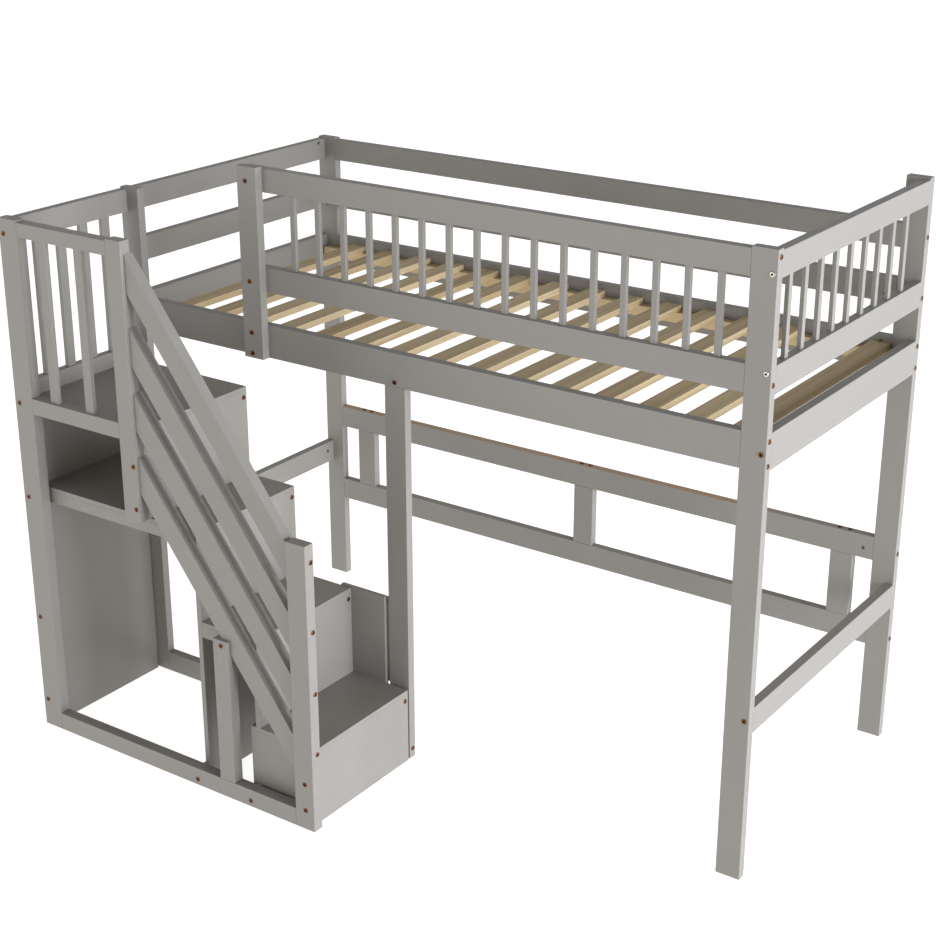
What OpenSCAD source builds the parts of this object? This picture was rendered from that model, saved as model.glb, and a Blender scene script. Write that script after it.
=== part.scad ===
// Loft bed with a guard rail and a side staircase that holds storage shelves.
// Millimetres, +Z up, +X to the right end, -Y to the front (the stair side).

/* [Overall size] */
// Length of the bed, over the end rails
bed_length = 1970; // [1800:5:2150]
// Width of the bed, over the side rails
bed_width = 875; // [780:5:1050]
// How far the stairs stand out in front of the bed
stair_depth = 433; // [380:1:520]
// Height of the front guard and of the right end
full_height = 1584; // [1500:1:1750]
// Height of the back guard, the left end and the landing posts
low_height = 1466; // [1420:1:1560]

/* [Bed timber] */
// Width of the bed posts
post_w = 65; // [55:1:80]
// Thickness of every bed board and post
board_t = 25; // [22:0.5:32]
// Height of the guard and low rails
guard_h = 68; // [55:1:80]
// How far the top guards sit below the post tops
guard_set = 5; // [0:1:12]
// Height of the side rails that carry the slats
side_rail_h = 91; // [80:1:110]
// Underside of the side rails
deck_z = 1070; // [1040:1:1120]
// Underside of the middle guard rails
guard_mid_z = 1250; // [1230:1:1280]
// Underside of the low end rails
low_rail_z = 400; // [350:1:450]
// Underside of the back frame's lower rail
frame_low_z = 274; // [230:1:320]
// Underside of the back frame's upper rail
frame_top_z = 526; // [480:1:580]
// Thickness of the guard post lapped on the front
guard_post_t = 25; // [20:0.5:32]
// Guard post, from the left end to its left edge
guard_post_x = 452; // [440:1:480]

/* [Slats and ledgers] */
// Width of a slat
slat_w = 53; // [40:1:70]
// Thickness of a slat
slat_t = 18; // [15:0.5:22]
// Distance from one slat to the next
slat_pitch = 123; // [95:1:130]
// First slat, from the right end rail's inner face
slat_start = 41; // [20:1:60]
// Top of the slats, above the side rail's underside
slat_up = 73; // [60:1:80]
// Width of the ledgers
ledger_w = 25; // [20:1:35]
// Height of the ledgers
ledger_h = 30; // [25:1:40]

/* [Spindles] */
// Width of a spindle
spindle_w = 16; // [12:0.5:20]
// Thickness of a spindle
spindle_t = 11; // [8:0.5:14]
// Gap between two spindles
spindle_gap = 65.6; // [60:0.1:72]
// First gap at the right end guard
end_gap = 53.4; // [40:0.1:72]
// Width of a landing baluster
baluster_w = 28; // [20:0.5:34]
// Thickness of a landing baluster
baluster_t = 13; // [10:0.5:18]
// Depth of a spindle's tenon in its rail
tenon = 10; // [6:0.5:14]

/* [Stair frame] */
// Thickness of the stair's front frame
frame_t = 32; // [28:0.5:38]
// Landing width, from the left end to the top riser
landing_w = 433.5; // [400:0.5:470]
// Width of the landing post
landing_post_w = 51; // [44:0.5:60]
// Width of the newel post
newel_w = 61; // [50:0.5:70]
// How far the newel post stands to the right of the bottom riser
newel_out = 20; // [10:1:28]
// Height of the front base rail
base_rail_h = 51; // [40:1:60]
// Height of the base rail at the back of the stairs
back_base_h = 62; // [50:1:70]
// Width of the short upright under the second tread
upright_w = 51; // [40:1:60]
// Height of the landing's front rails
landing_rail_h = 44; // [38:1:60]
// How far the landing's lower rail stands above its floor
landing_lip = 12; // [8:1:20]

/* [Handrail boards] */
// Slope of the four boards, degrees
hand_slope = 53.06; // [50:0.01:55]
// Width of a board, across its length
hand_w = 60; // [50:1:70]
// Thickness of a board
hand_t = 30; // [22:0.5:32]
// How far the boards are set back from the frame's front
hand_back = 10; // [4:1:12]
// Top board's upper edge, below the landing post's top
hand_drop = 33; // [20:1:60]
// Upright distance from the first board to the second
hand_first = 188; // [165:1:200]
// Upright distance between the other boards
hand_pitch = 171.5; // [150:0.5:190]

/* [Treads and panels] */
// Top of the first tread
tread_1_z = 216; // [190:0.5:240]
// Height of each further step
riser_h = 253.5; // [235:0.5:262]
// Depth of the lower treads, riser to riser
going = 187.5; // [170:0.5:200]
// Depth of the top tread
top_going = 157.5; // [145:0.5:175]
// Thickness of the treads, the shelf and the landing panel
tread_t = 12; // [12:0.5:18]
// Thickness of the risers and panels
panel_t = 14.5; // [12:0.5:18]
// Height of the front rails under the treads
tread_rail_h = 32; // [25:1:40]
// Thickness of the front rails under the treads
tread_rail_t = 15; // [12:0.5:20]
// Height of the battens under the treads
cleat_h = 35; // [25:1:40]
// Thickness of the battens under the treads
cleat_t = 25; // [18:1:30]
// Gap between the stair unit and the bed
unit_gap = 6; // [3:0.5:10]
// Height of the guard panel behind the first step
guard_panel_h = 257; // [200:1:280]
// Gap between that panel and the middle leg
guard_gap = 9; // [4:1:15]

/* [Fasteners and fits] */
// Diameter of the rail bolts
bolt_d = 6; // [5:0.5:8]
// Diameter of the bolt heads
head_d = 13; // [10:0.5:15]
// Thickness of the bolt heads
head_t = 2; // [1.5:0.1:3]
// Width across the flats of the key socket
socket_w = 4; // [3:0.5:5]
// Diameter of the barrel nuts and sleeve nuts
nut_d = 10; // [9:0.5:12]
// Length of the barrel nuts
nut_l = 18; // [14:0.5:20]
// Play of a bolt in its hole, on the diameter
bolt_play = 0.6; // [0.3:0.1:1.2]
// Play of a nut in its hole, on the diameter
nut_play = 0.2; // [0.1:0.1:0.6]
// Play of a tenon in its mortise, on each side
tenon_play = 0.2; // [0.1:0.1:0.6]
// Room left above a tenon
tenon_room = 1; // [0.5:0.5:2]
// Clearance between the handrail boards and the treads
hand_clear = 1; // [0.5:0.5:3]
// Diameter of the dowels
dowel_d = 8; // [6:0.5:10]
// Length of the dowels
dowel_l = 40; // [30:1:50]
// Diameter of the wood screws
screw_d = 4; // [3.5:0.5:5]

/* [Hidden] */
$fn = 48;
eps = 1;
xr = bed_length / 2;
xl = -bed_length / 2;
ys = -(bed_width + stair_depth) / 2;
yb = (bed_width + stair_depth) / 2;
yf = ys + stair_depth;
// Inner faces of the side and end rails
yfi = yf + board_t;
ybi = yb - board_t;
xri = xr - board_t;
xli = xl + board_t;
// Inner faces of the corner posts
xrp = xr - post_w;
xlp = xl + post_w;
// Middle of the boards' thickness
yfm = yf + board_t / 2;
ybm = yb - board_t / 2;
xrm = xr - board_t / 2;
xlm = xl + board_t / 2;
// Rail levels
deck_top = deck_z + side_rail_h;
guard_top_z = full_height - guard_h;
low_top_z = low_height - guard_h;
high_guard = full_height - guard_set;
low_guard = low_height - guard_set;
slat_z = deck_z + slat_up - slat_t;
ledger_z = slat_z - ledger_h;
gpx0 = xl + guard_post_x;
gpx1 = gpx0 + post_w;
gpm = gpx0 + 29;
// Stair: risers' front faces, left to right
rx4 = xl + landing_w;
rx3 = rx4 + top_going;
rx2 = rx3 + going;
rx1 = rx2 + going;
mx0 = rx4 - landing_post_w;
ex1 = rx1 + newel_out;
ex0 = ex1 - newel_w;
ysi = ys + frame_t;
hy0 = ys + hand_back;
hy1 = hy0 + hand_t;
// Middle of the depth that the handrail boards share with their posts
hym = (hy0 + ysi) / 2;
cy0 = hy1 + hand_clear;
cy1 = yf - unit_gap;
tz1 = tread_1_z;
tz2 = tz1 + riser_h;
tz3 = tz2 + riser_h;
tz4 = tz3 + riser_h;
px0 = xl + 10;
px1 = px0 + panel_t;
landing_x = max(px1, xli);
side_board_z = tz4 - landing_lip * 2.5;
side_board_h = guard_h + 6;
lrail_z = tz4 + landing_lip - landing_rail_h;
ltop_z = low_height - landing_rail_h;
cleat_y = cy1 - cleat_t / 2;
hand_v = hand_w / cos(hand_slope);
hand_len = ex0 - rx4;
hand_fall = hand_len * tan(hand_slope);
hand_z0 = low_height - hand_drop;
hand_z = [hand_z0, hand_z0 - hand_first, hand_z0 - hand_first - hand_pitch,
          hand_z0 - hand_first - 2 * hand_pitch];
newel_h = hand_z0 - hand_fall + 19;
upx1 = rx2 - 61;
upx0 = upx1 - upright_w;
gd_z = tz1 - tread_t;
// Spindle and slat counts follow from the lengths
spindle_pitch = spindle_w + spindle_gap;
front_n = floor((xrp - gpx1 - spindle_gap) / spindle_pitch);
end_n = floor((ybi - yfi - end_gap) / spindle_pitch);
slat_n = floor((xri - xli - slat_start - slat_w) / slat_pitch) + 1;
bal_y = [for (i = [1:4]) ysi + (yf - ysi) * i / 5];
bal_x = [xlp + (mx0 - xlp) / 4, xlp + (mx0 - xlp) * 2.63 / 4];
// Bolt lengths: through a wide post, and through a board
wide_l = post_w + 42;
thin_l = board_t + 42;

// Bolt heights. The bolts of the two directions pass each other inside a post.
guard_x = guard_mid_z + 25;
guard_y = guard_mid_z + 53;
deck_x = [deck_z + 14, deck_z + 73];
deck_y = deck_z + 43;
right_x = concat([full_height - 19, guard_x], deck_x);
right_y = [full_height - 56, guard_y, deck_y, low_rail_z + guard_h / 2 + 4];
back_x = concat([low_height - 36, guard_mid_z + 21], deck_x, [frame_top_z + 30, frame_low_z + 28]);
left_y = [low_height - 16, guard_y, deck_y, low_rail_z + guard_h / 2 + 4];
base_z = back_base_h / 2 - 3;

grey = [0.58, 0.56, 0.53];
pine = [0.74, 0.60, 0.40];
bronze = [0.30, 0.22, 0.15];
steel = [0.62, 0.62, 0.60];

// ---- basic shapes ----
module box(x0, x1, y0, y1, z0, z1) {
  translate([x0, y0, z0]) cube([x1 - x0, y1 - y0, z1 - z0]);
}

// Turns a shape made along +Z to lie along the given axis and sense
module along(axis, sense) {
  if (axis == "x") rotate([0, 90 * sense, 0]) children();
  else if (axis == "y") rotate([-90 * sense, 0, 0]) children();
  else rotate([sense > 0 ? 0 : 180, 0, 0]) children();
}

module rod(p, axis, sense, d, l) {
  translate(p) along(axis, sense) cylinder(d = d, h = l);
}

// A bolt is [seat point, axis, sense, shank length, nut centre's depth, nut axis, nut sense]
module bolt(b) {
  translate(b[0]) along(b[1], b[2]) {
    difference() {
      union() {
        cylinder(d = bolt_d, h = b[3]);
        translate([0, 0, -head_t]) cylinder(d = head_d, h = head_t);
      }
      translate([0, 0, -head_t - eps]) cylinder(d = socket_w, h = head_t + eps, $fn = 6);
    }
  }
}

module bolt_hole(b) {
  translate(b[0]) along(b[1], b[2])
    translate([0, 0, -eps]) cylinder(d = bolt_d + bolt_play, h = b[3] + eps + 2);
  if (b[4] > 0) nut_rod(b, nut_d + nut_play, nut_l / 2 + 2);
}

module nut_rod(b, d, half) {
  translate(nut_at(b)) along(b[5], b[6]) translate([0, 0, -board_t / 2 - eps])
    cylinder(d = d, h = board_t / 2 + eps + half);
}

module nut(b) {
  difference() {
    translate(nut_at(b)) along(b[5], b[6]) translate([0, 0, -nut_l / 2]) cylinder(d = nut_d, h = nut_l);
    translate(b[0]) along(b[1], b[2]) cylinder(d = bolt_d, h = b[3] + 5);
  }
}

function step_of(b) = (b[1] == "x" ? [b[2], 0, 0] : b[1] == "y" ? [0, b[2], 0] : [0, 0, b[2]]);
function nut_at(b) = b[0] + step_of(b) * b[4];

// ---- bolt lists by corner ----
fr_bolts = concat(
  [for (z = right_x) [[xr, yfm, z], "x", -1, wide_l, post_w + 30, "y", -1]],
  [for (z = right_y) [[xrm, yf, z], "y", 1, thin_l, board_t + 30, "x", 1]]);
br_bolts = concat(
  [for (z = back_x) [[xr, ybm, z], "x", -1, wide_l, post_w + 30, "y", 1]],
  [for (z = right_y) [[xrm, yb, z], "y", -1, thin_l, board_t + 30, "x", 1]]);
bl_bolts = concat(
  [for (z = back_x) [[xl, ybm, z], "x", 1, wide_l, post_w + 30, "y", -1]],
  [for (z = left_y) [[xlm, yb, z], "y", -1, thin_l, board_t + 30, "x", -1]]);
fl_bolts = concat(
  [for (z = concat(deck_x, [base_z])) [[xl, yfm, z], "x", 1, wide_l, post_w + 30, "y", -1]],
  [for (z = [guard_y, deck_y, low_rail_z + guard_h / 2 + 4])
    [[xlm, yf, z], "y", 1, thin_l, board_t + 30, "x", -1]]);
leg_bolts = [[[rx1, yfm, base_z], "x", -1, wide_l, post_w + 30, "y", -1]];
// Through bolts of the guard post and the leg's block: seat, then the far face
lap_l = guard_post_t + board_t;
lap_bolts = [for (z = [full_height - 38, guard_mid_z + 30, deck_x[1] - 2, deck_x[0]])
  [[gpm, yf - guard_post_t, z], "y", 1, lap_l - 2, 0, "x", 1]];
cleat_bolts = [[[rx1 - 32, yf, deck_x[0] - 1], "y", 1, board_t + cleat_t - 2, 0, "x", 1]];
// Stair bolts, all without barrel nuts: they cut their own thread in the wood
corner_bolts = concat(
  [for (z = [low_height - 41, tz4 - 9, tz3 - 24, 339, 82])
    [[px0 + panel_t / 2, ys, z], "y", 1, frame_t + 45]],
  [for (z = [ltop_z + landing_rail_h / 2, lrail_z + 16, base_rail_h / 2])
    [[xl, ys + frame_t / 2, z], "x", 1, post_w + 40]]);
landing_bolts = [for (z = [tz4 - 99, tz3 + 37]) [[rx4 - panel_t / 2, ys, z], "y", 1, frame_t + 45]];
hand_bolts = concat(
  [for (i = [0:3]) [[ex1, hym, hand_z[i] - hand_fall - 30], "x", -1, newel_w + 30]],
  [for (i = [0:3]) [[mx0, hym, hand_z[i] - hand_v / 2], "x", 1, landing_post_w + 30]]);
newel_bolts = [for (z = [132, 56]) [[rx1 - panel_t / 2, ys, z], "y", 1, frame_t + 45]];
base_bolts = [for (x = [rx3, rx2]) [[x - panel_t / 2, ys, 18], "y", 1, frame_t + 45]];
upright_bolts = [[[upx0 + 28, ys, tz2 - 21.5], "y", 1, cy0 - ys + tread_rail_t - 2]];
frame_x = [xlp + post_w, (xlp + xrp) / 2 - post_w / 2, xrp - 2 * post_w + 7];
frame_bolts = [for (x = frame_x, s = [-1, 1])
  [[x + post_w / 2 + s * 15, ybm, frame_top_z + guard_h], "z", -1, guard_h + 40]];
riser_bolts = [for (r = [[rx1, tz1], [rx2, tz2], [rx3, tz3], [rx4, tz4]])
  [[r[0], cleat_y, r[1] - tread_t - cleat_h / 2], "x", -1, panel_t + 40]];
stair_bolts = concat(corner_bolts, landing_bolts, hand_bolts, newel_bolts, base_bolts,
  upright_bolts, riser_bolts);

module holes(list) {
  for (b = list) bolt_hole(b);
}

// Stair bolts bite in the wood, so their hole is the bolt's own size
module bite_holes(list) {
  for (b = list) translate(b[0]) along(b[1], b[2])
    translate([0, 0, -eps]) cylinder(d = bolt_d, h = b[3] + eps);
}

// Room for a head where a rail's end may cover it
module head_pockets(list) {
  for (b = list) translate(b[0]) along(b[1], b[2]) translate([0, 0, -head_t - 0.5])
    cylinder(d = head_d + 1, h = head_t + 0.5 + eps);
}

// Sleeve nut at the far end of a through bolt
module sleeve_nut(b, far) {
  translate(b[0] + step_of(b) * far) along(b[1], -b[2]) difference() {
    union() {
      translate([0, 0, -head_t]) cylinder(d = head_d, h = head_t);
      cylinder(d = nut_d, h = 15);
    }
    translate([0, 0, 2]) cylinder(d = bolt_d, h = 20);
  }
}

module sleeve_hole(b, far) {
  translate(b[0] + step_of(b) * far) along(b[1], -b[2])
    translate([0, 0, -eps]) cylinder(d = nut_d + nut_play, h = 16 + eps);
  translate(b[0]) along(b[1], b[2]) translate([0, 0, -eps])
    cylinder(d = bolt_d + bolt_play, h = far + eps);
}

module lap_holes() {
  for (b = lap_bolts) sleeve_hole(b, lap_l);
}

module cleat_holes() {
  for (b = cleat_bolts) sleeve_hole(b, board_t + cleat_t);
}

// ---- dowels: [middle point, axis] ----
leg_dowels = [for (s = [-1, 1]) [[rx1 - post_w / 2 + s * 20, yfm, deck_z], "z"]];
side_dowels = concat([for (z = [low_height - 50, low_height - 32]) [[xlm, yf, z], "y"]],
  [for (z = [side_board_z + 22, side_board_z + 52]) [[xlm, yf, z], "y"]]);
post_dowels = [for (z = [ltop_z + 22, lrail_z + 22]) [[mx0, ys + frame_t / 2, z], "x"]];
newel_dowels = [[[ex0, ys + frame_t / 2, base_rail_h / 2], "x"]];
foot_dowels = [for (s = [-1, 1]) [[(upx0 + upx1) / 2 + s * 12, ys + frame_t / 2, base_rail_h], "z"]];
frame_dowels = [for (x = frame_x, s = [-1, 1]) [[x + post_w / 2 + s * 18, ybm, frame_low_z + guard_h], "z"]];
all_dowels = concat(leg_dowels, side_dowels, post_dowels, newel_dowels, foot_dowels, frame_dowels);

// A dowel against a shallow board is cut short, so it never comes out of the far face
module dowel(d, l = dowel_l) {
  translate(d[0]) along(d[1], 1) translate([0, 0, -l / 2]) cylinder(d = dowel_d, h = l);
}

module dowels(list) {
  for (d = list) dowel(d);
}

// ---- screws through the slats, and from the leg's cleat into the leg ----
cleat_screws = [for (z = [deck_z - 65, deck_z - 35]) [rx1 - post_w + 23, yfi + cleat_t, z]];
slat_xs = [for (i = [0:slat_n - 1]) xri - slat_start - slat_w / 2 - slat_pitch * i];
slat_screws = [for (x = slat_xs, y = [yfi + ledger_w / 2, ybi - ledger_w / 2]) [x, y, slat_z + slat_t]];

module screw(p, l, axis = "z") {
  translate(p) along(axis, -1) union() {
    cylinder(d = screw_d, h = l);
    cylinder(d1 = screw_d * 2, d2 = screw_d, h = screw_d / 2);
  }
}

module slat_screw_holes() {
  for (p = slat_screws) screw(p, 38);
}

module cleat_screw_holes() {
  for (p = cleat_screws) screw(p, cleat_t + 18, "y");
}

// ---- posts ----
module post_front_right() color(grey) difference() {
  box(xrp, xr, yf, yfi, 0, full_height);
  holes(fr_bolts);
}

module post_back_right() color(grey) difference() {
  box(xrp, xr, ybi, yb, 0, full_height);
  holes(br_bolts);
}

module post_back_left() color(grey) difference() {
  box(xl, xlp, ybi, yb, 0, low_height);
  holes(bl_bolts);
}

module post_front_left() color(grey) difference() {
  box(xl, xlp, yf, yfi, 0, low_height);
  holes(fl_bolts);
  dowels(side_dowels);
}

module mid_leg() color(grey) difference() {
  box(rx1 - post_w, rx1, yf, yfi, 0, deck_z);
  holes(leg_bolts);
  cleat_screw_holes();
  dowels(leg_dowels);
}

module guard_post() color(grey) difference() {
  box(gpx0, gpx1, yf - guard_post_t, yf, deck_z, full_height);
  lap_holes();
}

module stair_corner_post() color(grey) difference() {
  box(xl, xlp, ys, ysi, 0, low_height);
  bite_holes(corner_bolts);
}

module landing_post() color(grey) difference() {
  box(mx0, rx4, ys, ysi, tz3, low_height);
  bite_holes(landing_bolts);
  bite_holes(hand_bolts);
  dowels(post_dowels);
}

module newel_post() color(grey) difference() {
  box(ex0, ex1, ys, ysi, 0, newel_h);
  bite_holes(newel_bolts);
  bite_holes(hand_bolts);
  dowels(newel_dowels);
}

// The short upright laps in front of the lowest handrail board
module stair_upright() color(grey) difference() {
  box(upx0, upx1, ys, ysi, base_rail_h, tz2 - 6.5);
  hand_board(3, hand_clear);
  bite_holes(upright_bolts);
  dowels(foot_dowels);
}

module upright_packing() color(grey) difference() {
  box(upx0, upx1, ysi, cy0, tz2 - tread_t - tread_rail_h, tz2 - tread_t);
  hand_board(3, hand_clear);
  bite_holes(upright_bolts);
}

// ---- side and end rails ----
module front_side_rail() color(grey) difference() {
  box(xlp, xrp, yf, yfi, deck_z, deck_top);
  holes([for (b = fr_bolts) if (b[1] == "x") b]);
  holes([for (b = fl_bolts) if (b[1] == "x") b]);
  lap_holes();
  cleat_holes();
  dowels(leg_dowels);
}

module back_side_rail() color(grey) difference() {
  box(xlp, xrp, ybi, yb, deck_z, deck_top);
  holes([for (b = br_bolts) if (b[1] == "x") b]);
  holes([for (b = bl_bolts) if (b[1] == "x") b]);
}

module end_rail(x0, front, back, z0, z1) color(grey) difference() {
  box(x0, x0 + board_t, yfi, ybi, z0, z1);
  holes([for (b = concat(front, back)) if (b[1] == "y" && b[0][2] > z0 && b[0][2] < z1) b]);
}

module right_end_rail() end_rail(xri, fr_bolts, br_bolts, deck_z, deck_top);
module left_end_rail() end_rail(xl, fl_bolts, bl_bolts, deck_z, deck_top);
module right_low_rail() end_rail(xri, fr_bolts, br_bolts, low_rail_z, low_rail_z + guard_h);
module left_low_rail() end_rail(xl, fl_bolts, bl_bolts, low_rail_z, low_rail_z + guard_h);
module left_guard_mid() end_rail(xl, fl_bolts, bl_bolts, guard_mid_z, guard_mid_z + guard_h);

module left_guard_top() difference() {
  end_rail(xl, [], bl_bolts, low_top_z, low_guard);
  dowels(side_dowels);
}

module right_guard_top() difference() {
  end_rail(xri, fr_bolts, br_bolts, guard_top_z, high_guard);
  end_spindles(tenon_play, tenon_room);
}

module right_guard_mid() difference() {
  end_rail(xri, fr_bolts, br_bolts, guard_mid_z, guard_mid_z + guard_h);
  end_spindles(tenon_play, 0);
}

// ---- guards ----
module front_guard_top() color(grey) difference() {
  box(gpx0, xrp, yf, yfi, guard_top_z, high_guard);
  holes([for (b = fr_bolts) if (b[1] == "x") b]);
  lap_holes();
  spindle_row(tenon_play, tenon_room);
}

module front_guard_mid() color(grey) difference() {
  box(gpx0, xrp, yf, yfi, guard_mid_z, guard_mid_z + guard_h);
  holes([for (b = fr_bolts) if (b[1] == "x") b]);
  lap_holes();
  spindle_row(tenon_play, 0);
}

// One spindle with its tenons; grown by the play, it is the mortise
module spindle(x, y, wx, wy, z0, z1, play, room) {
  box(x - wx / 2 - play, x + wx / 2 + play, y - wy / 2 - play, y + wy / 2 + play,
      z0 - tenon, z1 + tenon + room);
}

module spindle_row(play, room) {
  for (i = [0:front_n - 1])
    spindle(xrp - spindle_gap - spindle_w / 2 - i * spindle_pitch, yfm, spindle_w, spindle_t,
            guard_mid_z + guard_h, guard_top_z, play, room);
}

module end_spindles(play, room) {
  for (i = [0:end_n - 1])
    spindle(xrm, yfi + end_gap + spindle_w / 2 + i * spindle_pitch, spindle_t, spindle_w,
            guard_mid_z + guard_h, guard_top_z, play, room);
}

module front_spindles() color(grey) spindle_row(0, 0);
module right_spindles() color(grey) end_spindles(0, 0);

module back_board(z0, z1) color(grey) difference() {
  box(xlp, xrp, ybi, yb, z0, z1);
  holes([for (b = concat(br_bolts, bl_bolts)) if (b[1] == "x" && b[0][2] > z0 && b[0][2] < z1) b]);
}

module back_guard_top() back_board(low_top_z, low_guard);
module back_guard_mid() back_board(guard_mid_z, guard_mid_z + guard_h);

module back_frame_top_rail() difference() {
  back_board(frame_top_z, frame_top_z + guard_h);
  bite_holes(frame_bolts);
}

module back_frame_low_rail() difference() {
  back_board(frame_low_z, frame_low_z + guard_h);
  dowels(frame_dowels);
}

module back_uprights() color(grey) difference() {
  for (x = frame_x) box(x, x + post_w, ybi, yb, frame_low_z + guard_h, frame_top_z);
  dowels(frame_dowels);
  bite_holes(frame_bolts);
}

// ---- slats on their ledgers ----
module front_ledger() color(pine) difference() {
  box(xli + 5, xri - 5, yfi, yfi + ledger_w, ledger_z, slat_z);
  slat_screw_holes();
}

module back_ledger() color(pine) difference() {
  box(xli + 5, xri - 5, ybi - ledger_w, ybi, ledger_z, slat_z);
  slat_screw_holes();
}

module slats() color(pine) difference() {
  for (x = slat_xs) box(x - slat_w / 2, x + slat_w / 2, yfi + 1, ybi - 1, slat_z, slat_z + slat_t);
  slat_screw_holes();
}

// Narrower than the leg, so the leg hides it
module leg_cleat() color(grey) difference() {
  box(rx1 - post_w, rx1 - 20, yfi, yfi + cleat_t, deck_z - 85, ledger_z);
  cleat_holes();
  cleat_screw_holes();
}

// ---- stair base ----
module stair_base_rail() color(grey) difference() {
  box(xlp, ex0, ys, ysi, 0, base_rail_h);
  bite_holes(corner_bolts);
  bite_holes(base_bolts);
  dowels(newel_dowels);
  dowels(foot_dowels);
}

module stair_back_base_rail() color(grey) difference() {
  box(xlp, rx1 - post_w, yf, yfi, 0, back_base_h);
  holes(leg_bolts);
  holes([for (b = fl_bolts) if (b[0][2] < back_base_h) b]);
}

// ---- risers, treads and panels ----
module riser_1() color(grey) difference() {
  box(rx1 - panel_t, rx1, ysi, cy1, 0, tz1 - tread_t);
  bite_holes(newel_bolts);
  bite_holes(riser_bolts);
}

module riser_2() color(grey) difference() {
  box(rx2 - panel_t, rx2, cy0, cy1, tz1, tz2 - tread_t);
  bite_holes(riser_bolts);
}

module riser_3() color(grey) difference() {
  union() {
    box(rx3 - panel_t, rx3, cy0, cy1, 0, tz3 - tread_t);
    box(rx3 - panel_t, rx3, ysi, cy0, 0, base_rail_h);
  }
  bite_holes(riser_bolts);
  bite_holes(base_bolts);
}

module riser_4() color(grey) difference() {
  box(rx4 - panel_t, rx4, ysi, cy1, tz3, tz4 - tread_t);
  bite_holes(riser_bolts);
  bite_holes(landing_bolts);
}

// Left wall of the first step's box, under the second riser
module step_box_wall() color(grey) difference() {
  union() {
    box(rx2 - panel_t, rx2, cy0 + panel_t, cy1, 0, tz1 - tread_t);
    box(rx2 - panel_t, rx2, ysi, cy0 + panel_t, 0, base_rail_h);
  }
  bite_holes(base_bolts);
}

module step_box_front() color(grey) difference() {
  box(rx2 - 32, rx1 - panel_t, cy0, cy0 + panel_t, 0, tz1 - tread_t);
  translate([0, 0, -eps]) box(rx2 - panel_t, rx2, ysi, cy0 + panel_t, 0, base_rail_h + eps);
}

// A strip glued behind the guard panel closes its gap and screws to the middle leg
module step_back_guard() color(grey) union() {
  box(rx2 - 34, rx1 - post_w - guard_gap, cy1, cy1 + tread_t, tz1 - tread_t, tz1 + guard_panel_h);
  box(rx1 - post_w - 40, rx1 - post_w, cy1 + tread_t, yfi, tz1, tz1 + guard_panel_h - 12);
}

module tread_1() color(grey)
  box(rx2 - 32, rx1, cy0, cy1, tz1 - tread_t, tz1);

module tread_2() color(grey)
  box(rx3, rx2, cy0, cy1, tz2 - tread_t, tz2);

module shelf_board() color(grey)
  box(px1, rx3, cy0, cy1, tz3 - tread_t, tz3);

module landing_panel() color(grey)
  box(landing_x, rx4, ysi, cy1, tz4 - tread_t, tz4);

// Front rails under the second tread and the shelf
module tread_rails() color(grey) difference() {
  union() {
    box(rx3, rx2 - panel_t, cy0, cy0 + tread_rail_t, tz2 - tread_t - tread_rail_h, tz2 - tread_t);
    box(px1, rx3 - panel_t, cy0, cy0 + tread_rail_t, tz3 - tread_t - tread_rail_h, tz3 - tread_t);
    box(landing_x, rx4 - panel_t, ysi, ysi + tread_rail_t, tz4 - tread_t - tread_rail_h + 8, tz4 - tread_t);
  }
  bite_holes(upright_bolts);
}

// Battens under the back edge of each tread
module batten(x0, x1, top) {
  box(x0, x1, cy1 - cleat_t, cy1, top - tread_t - cleat_h, top - tread_t);
}

module tread_battens() color(grey) difference() {
  union() {
    batten(rx2, rx1 - panel_t, tz1);
    batten(rx3, rx2 - panel_t, tz2);
    batten(px1, rx3 - panel_t, tz3);
    batten(landing_x, rx4 - panel_t, tz4);
  }
  bite_holes(riser_bolts);
}

module stair_side_panel() color(grey) difference() {
  box(px0, px1, ysi, cy1, 0, side_board_z);
  bite_holes(corner_bolts);
}

// ---- handrail boards between the landing post and the newel ----
module hand_board(i, grow) {
  z0 = hand_z[i] + grow;
  z1 = hand_z[i] - hand_v - grow;
  translate([0, hy1 + grow, 0]) rotate([90, 0, 0]) linear_extrude(height = hand_t + 2 * grow)
    polygon([[rx4, z0], [ex0, z0 - hand_fall], [ex0, z1 - hand_fall], [rx4, z1]]);
}

module handrail_boards() color(grey) difference() {
  for (i = [0:3]) hand_board(i, 0);
  bite_holes(hand_bolts);
}

// ---- landing rails and balusters ----
module landing_baluster_row(play, room) {
  for (x = bal_x)
    spindle(x, ysi - baluster_t / 2 - 12, baluster_w, baluster_t, lrail_z + landing_rail_h, ltop_z,
            play, room);
}

module side_baluster_row(play, room) {
  for (y = bal_y)
    spindle(xlm, y, baluster_t, baluster_w, side_board_z + side_board_h, low_top_z, play, room);
}

module landing_top_rail() color(grey) difference() {
  box(xlp, mx0, ys, ysi, ltop_z, low_guard);
  bite_holes(corner_bolts);
  dowels(post_dowels);
  head_pockets(hand_bolts);
  landing_baluster_row(tenon_play, tenon_room);
}

module landing_front_rail() color(grey) difference() {
  box(xlp, mx0, ys, ysi, lrail_z, lrail_z + landing_rail_h);
  bite_holes(corner_bolts);
  dowels(post_dowels);
  head_pockets(hand_bolts);
  landing_baluster_row(tenon_play, 0);
}

module landing_balusters() color(grey) landing_baluster_row(0, 0);

module side_landing_board() color(grey) difference() {
  box(xl, xli, ysi, yf, side_board_z, side_board_z + side_board_h);
  bite_holes(corner_bolts);
  dowels(side_dowels);
  side_baluster_row(tenon_play, 0);
}

module side_top_rail() color(grey) difference() {
  box(xl, xli, ysi, yf, low_top_z, low_guard);
  bite_holes(corner_bolts);
  dowels(side_dowels);
  side_baluster_row(tenon_play, tenon_room);
}

module side_balusters() color(grey) side_baluster_row(0, 0);

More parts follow.
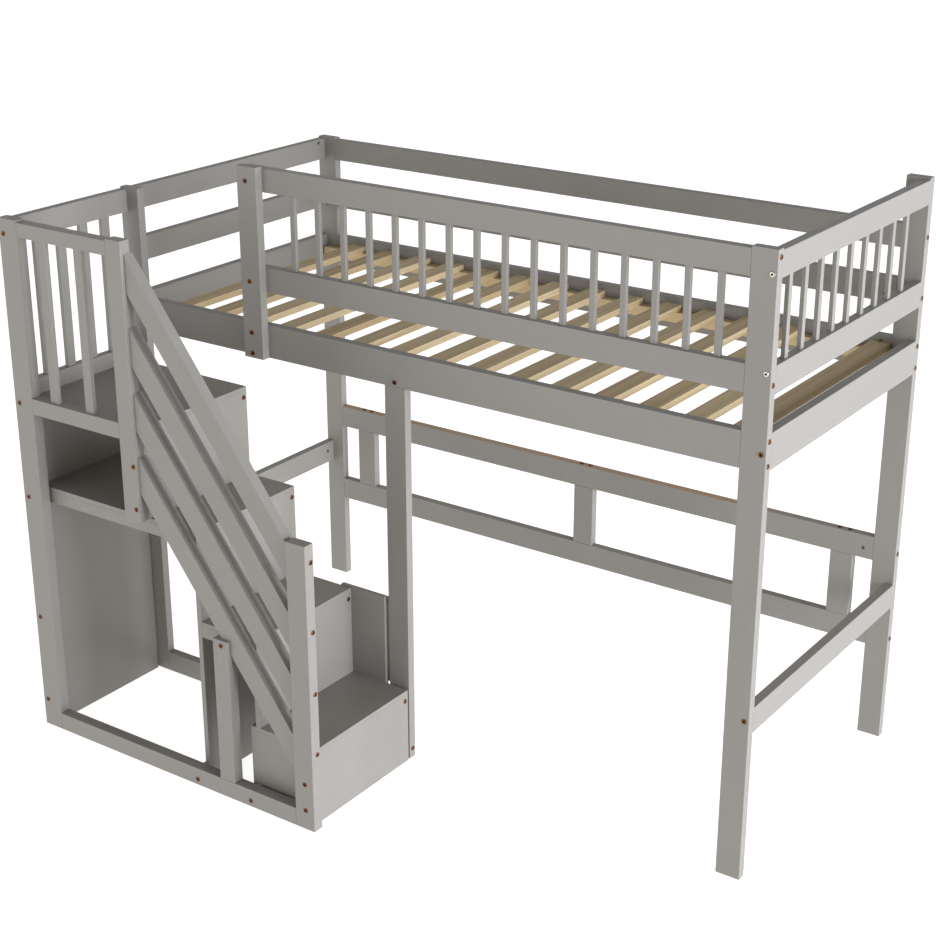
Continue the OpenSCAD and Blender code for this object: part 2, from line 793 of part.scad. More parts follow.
// ---- fasteners ----
module rail_bolts() color(bronze) {
  for (b = concat(fr_bolts, br_bolts, bl_bolts, fl_bolts, leg_bolts)) bolt(b);
  for (b = concat(lap_bolts, cleat_bolts, stair_bolts, frame_bolts)) bolt(b);
}

module barrel_nuts() color(steel) {
  for (b = concat(fr_bolts, br_bolts, bl_bolts, fl_bolts, leg_bolts)) nut(b);
  for (b = lap_bolts) sleeve_nut(b, lap_l);
  for (b = cleat_bolts) sleeve_nut(b, board_t + cleat_t);
}

module screws_and_dowels() color(pine) {
  dowels(all_dowels);
  for (p = slat_screws) screw(p, 38);
  cleat_screw_holes();
}

post_front_right();
post_back_right();
post_back_left();
post_front_left();
mid_leg();
guard_post();
stair_corner_post();
landing_post();
newel_post();
stair_upright();
upright_packing();
front_side_rail();
back_side_rail();
right_end_rail();
left_end_rail();
front_guard_top();
front_guard_mid();
front_spindles();
right_guard_top();
right_guard_mid();
right_spindles();
right_low_rail();
left_guard_top();
left_guard_mid();
left_low_rail();
back_guard_top();
back_guard_mid();
back_frame_top_rail();
back_frame_low_rail();
back_uprights();
front_ledger();
back_ledger();
slats();
leg_cleat();
stair_base_rail();
stair_back_base_rail();
riser_1();
riser_2();
riser_3();
riser_4();
step_box_wall();
step_box_front();
step_back_guard();
tread_1();
tread_2();
shelf_board();
landing_panel();
tread_rails();
tread_battens();
stair_side_panel();
handrail_boards();
landing_top_rail();
landing_front_rail();
landing_balusters();
side_landing_board();
side_top_rail();
side_balusters();
rail_bolts();
barrel_nuts();
screws_and_dowels();
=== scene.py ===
# %% [markdown]
# # A loft bed with a side staircase
# The bed is flat-pack furniture: sawn pine boards and thin panels, sprayed with a warm grey satin
# paint, and held by bronzed bolts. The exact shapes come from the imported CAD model, which is loaded
# first and never moved. This notebook rounds its edges, paints it, models the bolts and lights it.

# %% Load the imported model
import math
from collections import defaultdict

import bpy
from mathutils import Matrix, Vector


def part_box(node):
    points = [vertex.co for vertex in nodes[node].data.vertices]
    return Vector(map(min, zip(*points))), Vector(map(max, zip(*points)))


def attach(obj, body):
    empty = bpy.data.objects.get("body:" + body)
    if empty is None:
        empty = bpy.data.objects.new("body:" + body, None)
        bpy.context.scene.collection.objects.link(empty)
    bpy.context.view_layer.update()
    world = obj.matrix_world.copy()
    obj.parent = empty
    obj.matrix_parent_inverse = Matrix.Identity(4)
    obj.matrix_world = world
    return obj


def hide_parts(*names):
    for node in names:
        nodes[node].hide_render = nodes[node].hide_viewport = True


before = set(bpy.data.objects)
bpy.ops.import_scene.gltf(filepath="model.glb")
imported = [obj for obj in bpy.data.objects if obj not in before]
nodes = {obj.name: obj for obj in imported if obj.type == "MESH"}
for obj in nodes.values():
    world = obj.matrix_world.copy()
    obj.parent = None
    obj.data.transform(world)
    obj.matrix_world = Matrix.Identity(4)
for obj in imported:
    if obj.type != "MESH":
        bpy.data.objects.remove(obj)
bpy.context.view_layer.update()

# %% [markdown]
# ## Looking at the model
# Some nodes hold several separate pieces, such as the slats or the bolts. A small helper finds them by
# walking over shared corners, because the CAD mesh stores each triangle on its own. Millimetres are
# easier to think in for furniture, so MM turns them into Blender's metres.

# %% Find the separate pieces of a node
MM = 0.001


def solids(node):
    """The separate pieces of a CAD node, each as a list of its corner points."""
    mesh = nodes[node].data
    key_of = [tuple(round(c * 1e5) for c in v.co) for v in mesh.vertices]
    parent = {key: key for key in key_of}

    def root(key):
        while parent[key] != key:
            parent[key] = parent[parent[key]]
            key = parent[key]
        return key

    for poly in mesh.polygons:
        first = root(key_of[poly.vertices[0]])
        for index in poly.vertices[1:]:
            parent[root(key_of[index])] = first
    groups = defaultdict(list)
    for key, vertex in zip(key_of, mesh.vertices):
        groups[root(key)].append(vertex.co.copy())
    return list(groups.values())


def corners(points):
    low = Vector(min(p[i] for p in points) for i in range(3))
    high = Vector(max(p[i] for p in points) for i in range(3))
    return low, high


print("slats:", len(solids("slats")), "bolts:", len(solids("rail_bolts")))

# %% [markdown]
# ## Tools for finishes
# A finish is a small network of nodes. One helper adds any node with its settings and its links, and
# one turns the hex colours that a paint chart gives into the linear values that a renderer mixes.

# %% Helpers for colours and shader nodes
def linear(hex_code):
    """An sRGB hex colour as linear red, green, blue and alpha."""
    def channel(pair):
        value = int(pair, 16) / 255
        return value / 12.92 if value <= 0.04045 else ((value + 0.055) / 1.055) ** 2.4
    return tuple(channel(hex_code[i:i + 2]) for i in (1, 3, 5)) + (1.0,)


def add(tree, kind, inputs=None, **settings):
    """Add a shader node. A setting is a property; an input is a value or another node's output."""
    node = tree.nodes.new(kind)
    for name, value in settings.items():
        setattr(node, name, value)
    for name, value in (inputs or {}).items():
        if isinstance(value, bpy.types.NodeSocket):
            tree.links.new(value, node.inputs[name])
        else:
            node.inputs[name].default_value = value
    return node


def new_finish(name, **surface):
    """A new material with its shader and its coordinates in the bed's own frame."""
    material = bpy.data.materials.new(name)
    material.use_nodes = True
    tree = material.node_tree
    tree.nodes.clear()
    shader = add(tree, "ShaderNodeBsdfPrincipled", surface)
    add(tree, "ShaderNodeOutputMaterial", {"Surface": shader.outputs["BSDF"]})
    place = add(tree, "ShaderNodeTexCoord").outputs["Object"]
    return material, tree, shader, place


def ramp(tree, factor, *stops):
    """A colour ramp from (position, hex colour) stops."""
    node = add(tree, "ShaderNodeValToRGB", {"Fac": factor})
    band = node.color_ramp
    while len(band.elements) < len(stops):
        band.elements.new(0.5)
    for element, (position, hex_code) in zip(band.elements, stops):
        element.position = position
        element.color = linear(hex_code)
    return node.outputs["Color"]


print("mid grey is", [round(c, 3) for c in linear("#808080")])

# %% [markdown]
# ## Satin paint over pine
# The posts and rails are solid pine under a sprayed water-based satin enamel. It hides the colour of
# the wood and not its relief: the hard late-wood lines stand a few hundredths of a millimetre proud, so
# faint streaks run along each board. A noise stretched 40 times along the grain gives them. Sprayed
# enamel also dries to a fine orange peel, about 2 mm from bump to bump. Enamel on wood has an IOR near
# 1.5, and satin means a roughness of about 0.4 to 0.5.

# %% Painted pine, with its grain along a chosen direction
PAINT_LOW, PAINT_MID, PAINT_HIGH = "#84807A", "#87837D", "#8A8680"
GRAIN_STRETCH = 40
STREAK_MM = 3.2
ORANGE_PEEL_MM = 2.0


def along_grain(tree, place, axis, tilt=0.0):
    """Coordinates squeezed along the grain, so that a noise read there comes out as streaks."""
    scale = [1.0, 1.0, 1.0]
    scale["XYZ".index(axis)] = 1 / GRAIN_STRETCH
    turned = add(tree, "ShaderNodeMapping", {"Vector": place, "Rotation": (0, tilt, 0)})
    squeezed = add(tree, "ShaderNodeMapping", {"Vector": turned.outputs["Vector"], "Scale": scale})
    return squeezed.outputs["Vector"]


def painted_pine(name, axis, tilt=0.0):
    material, tree, shader, place = new_finish(name, **{"IOR": 1.5})
    grain = along_grain(tree, place, axis, tilt)
    streaks = add(tree, "ShaderNodeTexNoise", {
        "Vector": grain, "Scale": 1 / (STREAK_MM * MM), "Detail": 4.0, "Roughness": 0.62})
    clouds = add(tree, "ShaderNodeTexNoise", {"Vector": place, "Scale": 7.0, "Detail": 3.0})
    tone = add(tree, "ShaderNodeMix", {
        "Factor": 0.6, "A": streaks.outputs["Fac"], "B": clouds.outputs["Fac"]})
    colour = ramp(tree, tone.outputs["Result"], (0.30, PAINT_LOW), (0.5, PAINT_MID), (0.72, PAINT_HIGH))
    peel = add(tree, "ShaderNodeTexNoise", {
        "Vector": place, "Scale": 1 / (ORANGE_PEEL_MM * MM), "Detail": 2.0})
    gloss = add(tree, "ShaderNodeMapRange", {
        "Value": clouds.outputs["Fac"], "From Min": 0.3, "From Max": 0.7, "To Min": 0.40, "To Max": 0.52})
    relief = add(tree, "ShaderNodeBump", {
        "Height": streaks.outputs["Fac"], "Strength": 0.05, "Distance": 0.2 * MM})
    skin = add(tree, "ShaderNodeBump", {
        "Height": peel.outputs["Fac"], "Strength": 0.12, "Distance": 0.15 * MM,
        "Normal": relief.outputs["Normal"]})
    for socket, value in (("Base Color", colour), ("Roughness", gloss.outputs["Result"]),
                          ("Normal", skin.outputs["Normal"])):
        tree.links.new(value, shader.inputs[socket])
    return material


board_x, board_y, board_z = (painted_pine(f"satin_enamel_on_pine_{a.lower()}", a) for a in "XYZ")
print("made", board_x.name, board_y.name, board_z.name)

# %% [markdown]
# ## The sloping boards' grain
# The handrail boards run down beside the stairs, so their grain has to be turned with them. The slope
# is read from the CAD node itself: one board's fall over its run.

# %% Paint with the grain turned down the handrail
hand_points = solids("handrail_boards")[0]
low, high = corners(hand_points)
upper_end = max(p.z for p in hand_points if p.x < low.x + 1 * MM)
lower_end = max(p.z for p in hand_points if p.x > high.x - 1 * MM)
slope = math.atan2(upper_end - lower_end, high.x - low.x)
board_slope = painted_pine("satin_enamel_on_sloping_pine", "X", tilt=-slope)
print("handrail slope", round(math.degrees(slope), 2), "degrees")

# %% [markdown]
# ## A painted warm glow on one edge
# The top edge of the back frame's upper rail gets a painted reflection. The warm light that the bare slats
# throw onto it is painted into the grey as a tan tint, over most of its length. The mask is made of two
# things: the surface faces up, and it lies left of the place where the painted glow fades out. A noise breaks
# it up, so it isn't one even band.

# %% Paint for the back frame's upper rail, with a painted warm glow on its top
GLOW_UNTIL, FADE = 550 * MM, 120 * MM
PATCH_MM = 6.25


def slat_glow_on_top(material, glow_tint):
    tree = material.node_tree
    shader = next(node for node in tree.nodes if node.type == "BSDF_PRINCIPLED")
    coat = shader.inputs["Base Color"].links[0].from_socket
    place = add(tree, "ShaderNodeTexCoord").outputs["Object"]
    geometry = add(tree, "ShaderNodeNewGeometry")
    facing = add(tree, "ShaderNodeSeparateXYZ", {"Vector": geometry.outputs["Normal"]})
    upward = add(tree, "ShaderNodeMapRange", {"Value": facing.outputs["Z"], "From Min": 0.5, "From Max": 0.9})
    along = add(tree, "ShaderNodeSeparateXYZ", {"Vector": place})
    leftward = add(tree, "ShaderNodeMapRange", {
        "Value": along.outputs["X"], "From Min": GLOW_UNTIL + FADE, "From Max": GLOW_UNTIL})
    patch = add(tree, "ShaderNodeTexNoise", {
        "Vector": along_grain(tree, place, "X"), "Scale": 1 / (PATCH_MM * MM), "Detail": 3.0})
    patchy = add(tree, "ShaderNodeMapRange", {
        "Value": patch.outputs["Fac"], "From Min": 0.3, "From Max": 0.6, "To Min": 0.55, "To Max": 1.0})
    mask = add(tree, "ShaderNodeMath", {0: upward.outputs["Result"], 1: leftward.outputs["Result"]},
               operation="MULTIPLY")
    mask = add(tree, "ShaderNodeMath", {0: mask.outputs[0], 1: patchy.outputs["Result"]},
               operation="MULTIPLY")
    # The tan mixed over the grey is painted light: the warm glow bounced off the slats, not the rail's own
    # colour
    mixed = add(tree, "ShaderNodeMix", {0: mask.outputs[0], 6: coat, 7: linear(glow_tint)}, data_type="RGBA")
    tree.links.new(mixed.outputs[2], shader.inputs["Base Color"])
    return material


# The rail's top edge gets a painted tan glow of light bounced off the slats
slat_glow_rail = slat_glow_on_top(painted_pine("satin_enamel_with_painted_slat_glow", "X"), "#A98A6A")
print("made", slat_glow_rail.name)

# %% [markdown]
# ## Painted panels
# The risers, treads and side panel are thin board with no grain to telegraph. The same enamel lies
# flatter there, and shows only its orange peel and a slight unevenness of the spray.

# %% Painted panel
def painted_panel(name):
    material, tree, shader, place = new_finish(name, **{"IOR": 1.5})
    clouds = add(tree, "ShaderNodeTexNoise", {
        "Vector": place, "Scale": 5.0, "Detail": 5.0, "Roughness": 0.55})
    colour = ramp(tree, clouds.outputs["Fac"], (0.32, PAINT_LOW), (0.52, PAINT_MID), (0.75, PAINT_HIGH))
    peel = add(tree, "ShaderNodeTexNoise", {
        "Vector": place, "Scale": 1 / (ORANGE_PEEL_MM * MM), "Detail": 2.0})
    gloss = add(tree, "ShaderNodeMapRange", {
        "Value": clouds.outputs["Fac"], "From Min": 0.3, "From Max": 0.7, "To Min": 0.36, "To Max": 0.48})
    skin = add(tree, "ShaderNodeBump", {
        "Height": peel.outputs["Fac"], "Strength": 0.16, "Distance": 0.15 * MM})
    for socket, value in (("Base Color", colour), ("Roughness", gloss.outputs["Result"]),
                          ("Normal", skin.outputs["Normal"])):
        tree.links.new(value, shader.inputs[socket])
    return material


panel = painted_panel("satin_enamel_on_board")
print("made", panel.name)

# %% [markdown]
# ## Raw pine
# The slats are planed pine, left bare. A flat-sawn pine board shows three things: yearly rings, cut as
# long wavy lines 4 to 8 mm apart; fine fibres along the board; and here and there a small knot. Each
# slat was cut from another board, so each has its own tone and its own pattern. The slats lie at an even
# pitch, so the slat's number along the bed, found by dividing X by the pitch, picks the tone.

# %% Bare pine for the slats and ledgers
RING_MM = 6.0
FIBRE_MM = 0.9
# How far apart, in metres, two slats' patterns are read, and how far a ring line strays
BOARD_JUMP = (3.0, 7.0, 5.0)
RING_BEND = (0.03, 0.03, 0.03)
slat_boxes = sorted((corners(points) for points in solids("slats")), key=lambda box: box[0].x)
slat_pitch = slat_boxes[1][0].x - slat_boxes[0][0].x
slat_middle = (slat_boxes[0][0].x + slat_boxes[0][1].x) / 2


def bare_pine(name, axis, pitch):
    material, tree, shader, place = new_finish(name, **{"IOR": 1.5, "Roughness": 0.62})
    parts = add(tree, "ShaderNodeSeparateXYZ", {"Vector": place})
    number = add(tree, "ShaderNodeMath", {0: parts.outputs["X"], 1: slat_middle - pitch / 2},
                 operation="SUBTRACT")
    number = add(tree, "ShaderNodeMath", {0: number.outputs[0], 1: pitch}, operation="DIVIDE")
    number = add(tree, "ShaderNodeMath", {0: number.outputs[0]}, operation="FLOOR")
    luck = add(tree, "ShaderNodeTexWhiteNoise", {"W": number.outputs[0]}, noise_dimensions="1D")
    jump = add(tree, "ShaderNodeVectorMath", {0: luck.outputs["Color"], 1: BOARD_JUMP},
               operation="MULTIPLY")
    moved = add(tree, "ShaderNodeVectorMath", {0: place, 1: jump.outputs["Vector"]}, operation="ADD")
    grain = along_grain(tree, moved.outputs["Vector"], axis)
    sway = add(tree, "ShaderNodeTexNoise", {"Vector": grain, "Scale": 14.0, "Detail": 2.0})
    bend = add(tree, "ShaderNodeVectorMath", {0: sway.outputs["Color"], 1: RING_BEND},
               operation="MULTIPLY")
    waved = add(tree, "ShaderNodeVectorMath", {0: grain, 1: bend.outputs["Vector"]}, operation="ADD")
    rings = add(tree, "ShaderNodeTexWave", {
        "Vector": waved.outputs["Vector"], "Scale": 1 / (RING_MM * MM) / 20, "Distortion": 3.0,
        "Detail": 2.0, "Detail Scale": 1.2}, bands_direction="X" if axis == "Y" else "Y", wave_profile="SAW")
    fibres = add(tree, "ShaderNodeTexNoise", {
        "Vector": grain, "Scale": 1 / (FIBRE_MM * MM), "Detail": 3.0, "Roughness": 0.6})
    knots = add(tree, "ShaderNodeTexVoronoi", {
        "Vector": moved.outputs["Vector"], "Scale": 3.6, "Randomness": 1.0})
    knot = add(tree, "ShaderNodeMapRange", {
        "Value": knots.outputs["Distance"], "From Min": 0.018, "From Max": 0.05,
        "To Min": 1.0, "To Max": 0.0})
    tone = add(tree, "ShaderNodeMix", {"Factor": 0.45, "A": rings.outputs["Fac"], "B": fibres.outputs["Fac"]})
    wood = ramp(tree, tone.outputs["Result"], (0.12, "#C6B18B"), (0.5, "#BBA47B"), (0.86, "#A88E65"))
    share = add(tree, "ShaderNodeMath", {0: luck.outputs["Value"], 1: 0.45}, operation="MULTIPLY")
    pale = add(tree, "ShaderNodeMix", {0: share.outputs[0], 6: wood, 7: linear("#E2CFA9")}, data_type="RGBA")
    dark = add(tree, "ShaderNodeMix", {0: knot.outputs["Result"], 6: pale.outputs[2], 7: linear("#7A5230")},
               data_type="RGBA")
    bump = add(tree, "ShaderNodeBump", {
        "Height": fibres.outputs["Fac"], "Strength": 0.35, "Distance": 0.2 * MM})
    tree.links.new(dark.outputs[2], shader.inputs["Base Color"])
    tree.links.new(bump.outputs["Normal"], shader.inputs["Normal"])
    return material


slat_pine = bare_pine("planed_pine_slat", "Y", slat_pitch)
ledger_pine = bare_pine("planed_pine_ledger", "X", 40.0)
print("slat pitch", round(slat_pitch, 4), "first slat's middle", round(slat_middle, 4))

# %% [markdown]
# ## Metals
# The bolts are steel with an antique bronze plating: a warm brown metal, darker in small blotches. The
# socket's faces are painted near-black, as painted shade in the recess. The nuts and screws are zinc plated,
# which is a cool grey with a faint crystal mottle. The barrel nuts get a darker grey, as painted shade for
# their place deep in the bores.

# %% Bronzed and zinc-plated steel
def plated_steel(name, dark, light, rough_low, rough_high, mottle_mm):
    material, tree, shader, place = new_finish(name, **{"Metallic": 1.0})
    mottle = add(tree, "ShaderNodeTexNoise", {
        "Vector": place, "Scale": 1 / (mottle_mm * MM), "Detail": 3.0, "Roughness": 0.6})
    colour = ramp(tree, mottle.outputs["Fac"], (0.35, dark), (0.68, light))
    rough = add(tree, "ShaderNodeMapRange", {
        "Value": mottle.outputs["Fac"], "From Min": 0.3, "From Max": 0.7,
        "To Min": rough_low, "To Max": rough_high})
    bump = add(tree, "ShaderNodeBump", {
        "Height": mottle.outputs["Fac"], "Strength": 0.1, "Distance": 0.05 * MM})
    for socket, value in (("Base Color", colour), ("Roughness", rough.outputs["Result"]),
                          ("Normal", bump.outputs["Normal"])):
        tree.links.new(value, shader.inputs[socket])
    return material


bronzed = plated_steel("antique_bronze_plated_steel", "#442A18", "#946238", 0.24, 0.40, 2.5)
zinc = plated_steel("zinc_plated_steel", "#B9B8AD", "#DEDCCF", 0.25, 0.38, 1.5)
# A darker zinc for the barrel nuts: painted shade for their place deep in the bores
nut_shade_zinc = plated_steel("zinc_plated_steel_darkened_as_painted_shade", "#5A5854", "#7E7B76", 0.45, 0.6, 1.5)
# Near-black steel for the socket faces: painted shade of the deep hexagon socket
socket_shade_steel = plated_steel("steel_with_painted_socket_shade", "#0C0A09", "#1C1714", 0.55, 0.7, 1.5)
print("made", bronzed.name, zinc.name, nut_shade_zinc.name, socket_shade_steel.name)

# %% [markdown]
# ## Eased edges
# A sanded edge is never sharp, and the thin bright line that it catches is what makes timber look real.
# The CAD mesh is loose triangles, so a Weld joins them, a planar Decimate clears the flat faces of
# their triangles, and a Bevel rounds what is left at more than 40 degrees. All three are modifiers, so
# the CAD mesh itself stays as it is. Solid timber is eased by about 1.4 mm, thin board by 0.6 mm.

# %% Round the edges of every wooden piece
TIMBER_EASE, PANEL_EASE = 1.4, 0.6


def ease_edges(node, radius_mm, segments=3):
    obj = nodes[node]
    weld = obj.modifiers.new("join corners", "WELD")
    weld.merge_threshold = 0.02 * MM
    flat = obj.modifiers.new("clear flat faces", "DECIMATE")
    flat.decimate_type = "DISSOLVE"
    flat.angle_limit = math.radians(0.6)
    ease = obj.modifiers.new("eased edges", "BEVEL")
    ease.width = radius_mm * MM
    ease.segments = segments
    ease.limit_method = "ANGLE"
    ease.angle_limit = math.radians(40)
    ease.use_clamp_overlap = False
    ease.loop_slide = False
    even = obj.modifiers.new("flat faces stay flat", "WEIGHTED_NORMAL")
    even.weight = 100


PANELS = {"riser_1", "riser_2", "riser_3", "riser_4", "step_box_wall", "step_box_front", "step_back_guard",
          "tread_1", "tread_2", "shelf_board", "landing_panel", "stair_side_panel"}
METAL = {"rail_bolts", "barrel_nuts", "screws_and_dowels"}
SMALL = {"front_spindles": 1.2, "right_spindles": 1.2, "slats": 1.0, "front_ledger": 1.0,
         "back_ledger": 1.0, "tread_battens": 0.8, "tread_rails": 0.8}
for name in nodes:
    if name not in METAL:
        ease_edges(name, SMALL.get(name, PANEL_EASE if name in PANELS else TIMBER_EASE))
print("eased", len(nodes) - len(METAL), "nodes")

# %% [markdown]
# ## Furniture bolts
# Each joint is drawn up by a bolt with a low domed head and a hexagon socket, sunk on a barrel nut in
# the next board. The CAD bolt has a plain disc for a head, so one good bolt is modelled here: a
# cylinder whose top face is raised and drawn in for the dome, whose under side is inset and pulled out
# for the shank, and whose socket is cut by a six-sided prism. It is then copied to every seat.

# %% Model one bolt, head up, its seat at the origin
HEAD_R, HEAD_T, SHANK_R, SOCKET_R, SOCKET_DEEP = 6.5 * MM, 2.0 * MM, 3.0 * MM, 3.2 * MM, 1.7 * MM
# The pattern's shank is a stub, and each copy's is drawn out to its own length
PATTERN_SHANK = 10 * MM


def deselect():
    for obj in bpy.context.selected_objects:
        obj.select_set(False)


def pick_faces(obj, wanted):
    """In edit mode, select the faces that point the wanted way."""
    bpy.ops.mesh.select_all(action="DESELECT")
    bpy.ops.object.mode_set(mode="OBJECT")
    for poly in obj.data.polygons:
        poly.select = wanted(poly)
    bpy.ops.object.mode_set(mode="EDIT")


def apply_modifiers(obj):
    for modifier in list(obj.modifiers):
        bpy.ops.object.modifier_apply(modifier=modifier.name)


def model_bolt():
    deselect()
    rim = HEAD_T * 0.62
    bpy.ops.mesh.primitive_cylinder_add(vertices=28, radius=HEAD_R, depth=rim, location=(0, 0, rim / 2))
    bolt = bpy.context.object
    bpy.ops.object.transform_apply(location=True, rotation=False, scale=False)
    bpy.ops.object.mode_set(mode="EDIT")
    bpy.ops.mesh.select_mode(type="FACE")
    pick_faces(bolt, lambda poly: poly.normal.z > 0.9)
    bpy.ops.mesh.extrude_region_move(TRANSFORM_OT_translate={"value": (0, 0, (HEAD_T - rim) * 0.75)})
    bpy.ops.transform.resize(value=(0.86, 0.86, 1))
    bpy.ops.mesh.extrude_region_move(TRANSFORM_OT_translate={"value": (0, 0, (HEAD_T - rim) * 0.25)})
    bpy.ops.transform.resize(value=(0.8, 0.8, 1))
    pick_faces(bolt, lambda poly: poly.normal.z < -0.9)
    bpy.ops.mesh.inset(thickness=HEAD_R - SHANK_R)
    bpy.ops.mesh.extrude_region_move(TRANSFORM_OT_translate={"value": (0, 0, -PATTERN_SHANK)})
    bpy.ops.object.mode_set(mode="OBJECT")
    deselect()
    bpy.ops.mesh.primitive_cylinder_add(
        vertices=6, radius=SOCKET_R, depth=2 * SOCKET_DEEP, location=(0, 0, HEAD_T))
    key = bpy.context.object
    deselect()
    bolt.select_set(True)
    bpy.context.view_layer.objects.active = bolt
    cut = bolt.modifiers.new("hexagon socket", "BOOLEAN")
    cut.object = key
    cut.operation = "DIFFERENCE"
    cut.solver = "EXACT"
    soften = bolt.modifiers.new("rolled rim", "BEVEL")
    soften.width, soften.segments = 0.22 * MM, 2
    soften.limit_method, soften.angle_limit = "ANGLE", math.radians(30)
    apply_modifiers(bolt)
    bpy.data.objects.remove(key)
    bolt.data.materials.append(bronzed)
    bolt.data.materials.append(socket_shade_steel)
    # The socket's faces take the near-black finish, as painted shade in the recess
    for poly in bolt.data.polygons:
        inside = math.hypot(poly.center.x, poly.center.y) < SOCKET_R * 0.97
        poly.material_index = 1 if inside and 0 < poly.center.z < HEAD_T - 0.1 * MM else 0
    return bolt


bolt_pattern = model_bolt()
print("bolt pattern:", len(bolt_pattern.data.polygons), "faces")

# %% [markdown]
# The seats come from the CAD bolts: the long way of each is its axis, and the end that holds the wide
# head is its outer end. Two bolts high on the front right post are bright zinc; the rest are bronze.

# %% Put a bolt at every seat
def seat_of(points):
    """Where a CAD bolt's head sits, which way it faces, and how long its shank is."""
    low, high = corners(points)
    axis = max(range(3), key=lambda i: high[i] - low[i])
    middle = (low + high) / 2
    wide = [p for p in points
            if math.hypot(*(p[i] - middle[i] for i in range(3) if i != axis)) > (HEAD_R + SHANK_R) / 2]
    near, far = min(p[axis] for p in wide), max(p[axis] for p in wide)
    outward = 1 if near > middle[axis] else -1
    seat = middle.copy()
    seat[axis] = near if outward > 0 else far
    way = Vector((0, 0, 0))
    way[axis] = outward
    length = seat[axis] - low[axis] if outward > 0 else high[axis] - seat[axis]
    return seat, way, length


def fit_bolt(points):
    seat, way, length = seat_of(points)
    copy = bpy.data.objects.new("bolt", bolt_pattern.data.copy())
    bpy.context.scene.collection.objects.link(copy)
    for vertex in copy.data.vertices:
        if vertex.co.z < -PATTERN_SHANK / 2:
            vertex.co.z -= length - PATTERN_SHANK
    copy.data.transform(Matrix.Translation(seat) @ way.to_track_quat("Z", "Y").to_matrix().to_4x4())
    return copy, seat, way


def joined(pieces, name, material, stands_for):
    """Join copies into one object that stands for a CAD node."""
    deselect()
    for piece in pieces:
        piece.select_set(True)
    bpy.context.view_layer.objects.active = pieces[0]
    bpy.ops.object.join()
    whole = bpy.context.object
    whole.name = name
    whole.data.materials[0] = material
    bpy.ops.object.shade_smooth_by_angle(angle=math.radians(32))
    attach(whole, "root")
    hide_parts(stands_for)
    return whole


POST_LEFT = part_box("post_front_right")[0].x
BRIGHT_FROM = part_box("front_guard_mid")[0].z
bright, dark = [], []
for points in solids("rail_bolts"):
    copy, seat, way = fit_bolt(points)
    on_post_front = way.y < -0.5 and seat.x > POST_LEFT and seat.z > BRIGHT_FROM
    (bright if on_post_front else dark).append(copy)
joined(dark, "bronze_bolts", bronzed, "rail_bolts")
joined(bright, "bright_bolts", zinc, "rail_bolts")
bpy.data.objects.remove(bolt_pattern)
print(len(dark), "bronze bolts and", len(bright), "bright ones")

# %% [markdown]
# ## Painting
# Each board's grain runs along its longest side. That side is measured on one piece of the node,
# because a row of spindles is wide as a whole and each spindle in it stands upright.

# %% Give each node its finish
def long_side(node):
    low, high = corners(solids(node)[0])
    size = high - low
    return "XYZ"[max(range(3), key=lambda i: size[i])]


def paint(node, material):
    slots = nodes[node].data.materials
    slots.clear()
    slots.append(material)


FINISH = {"slats": slat_pine, "front_ledger": ledger_pine, "back_ledger": ledger_pine,
          "handrail_boards": board_slope, "back_frame_top_rail": slat_glow_rail,
          # The barrel nuts' darker zinc is painted shade of their bores
          "barrel_nuts": nut_shade_zinc, "screws_and_dowels": zinc,
          "rail_bolts": bronzed}
GRAINED = {"X": board_x, "Y": board_y, "Z": board_z}
for name in nodes:
    if name in FINISH:
        paint(name, FINISH[name])
    elif name in PANELS:
        paint(name, panel)
    else:
        paint(name, GRAINED[long_side(name)])
print("painted", len(nodes), "nodes")

# %% [markdown]
# ## Studio
# The bed stands on a pale floor in an even white studio. A broad soft light stands at the right, where it
# fills the faces that look along the bed, and a weak one at the front left keeps the shadows open. The
# light from above is weak, so tops stay darker than sides. The floor glows slightly, as a lit white
# sweep does, so it stays pale to the horizon, where the studio's wall is white too. Higher up the wall
# gets darker, like a ceiling that no lamp is aimed at.

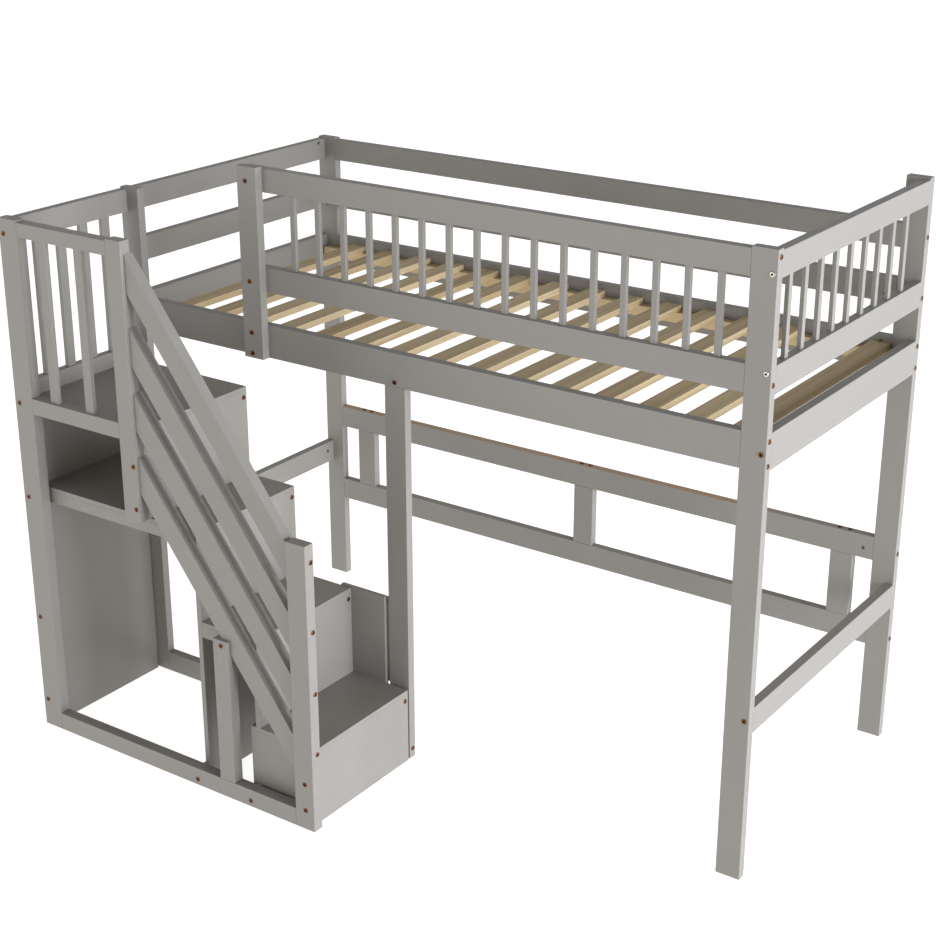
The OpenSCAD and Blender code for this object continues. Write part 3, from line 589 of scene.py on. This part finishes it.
# %% Floor
deselect()
FLOOR_SIZE = 90.0
bpy.ops.mesh.primitive_plane_add(size=FLOOR_SIZE, location=(0, 0, -0.5 * MM))
floor = bpy.context.object
floor.name = "floor"
sweep = new_finish("white_studio_sweep", **{
    "Base Color": linear("#BDBCBA"), "Roughness": 0.9, "Emission Color": linear("#FFFFFF"),
    "Emission Strength": 0.9})
floor.data.materials.append(sweep[0])
print("floor", FLOOR_SIZE, "m")

# %% Lights
def soft_light(name, place, target, size, power, tint="#FFFFFF"):
    lamp = bpy.data.lights.new(name, "AREA")
    lamp.shape = "RECTANGLE"
    lamp.size, lamp.size_y = size
    lamp.energy = power
    lamp.color = linear(tint)[:3]
    holder = bpy.data.objects.new(name, lamp)
    holder.location = place
    holder.rotation_euler = (Vector(target) - Vector(place)).to_track_quat("-Z", "Y").to_euler()
    bpy.context.scene.collection.objects.link(holder)
    return holder


soft_light("right_wall_light", (9.0, -0.8, 1.6), (0, 0, 0.7), (5.0, 4.0), 1180, "#F0F5FF")
soft_light("front_fill", (-2.5, -5.2, 1.9), (0, 0, 0.7), (3.0, 2.5), 50)
world = bpy.data.worlds.new("studio")
world.use_nodes = True
bpy.context.scene.world = world
sky = world.node_tree
background = sky.nodes["Background"]
background.inputs["Color"].default_value = linear("#F7F8FA")
view_way = add(sky, "ShaderNodeTexCoord").outputs["Generated"]
direction = add(sky, "ShaderNodeSeparateXYZ", {"Vector": view_way})
height = add(sky, "ShaderNodeMapRange", {
    "Value": direction.outputs["Z"], "From Min": 0.10, "From Max": 0.34, "To Min": 1.05, "To Max": 0.38})
sky.links.new(height.outputs["Result"], background.inputs["Strength"])
bpy.context.scene.view_settings.view_transform = "Standard"
print("lights placed")

# %% [markdown]
# ## Camera
# The camera looks down at the front right corner from a little above the guard rail, with a 70 mm lens.

# %% Camera
camera_data = bpy.data.cameras.new("camera")
camera_data.lens = 69.55
camera_data.sensor_width = 36
camera = bpy.data.objects.new("camera", camera_data)
camera.location = (2.605, -3.679, 2.572)
camera.rotation_euler = (math.radians(68.37), 0, math.radians(35.02))
bpy.context.scene.collection.objects.link(camera)
bpy.context.scene.camera = camera
print("camera", tuple(round(v, 3) for v in camera.location))
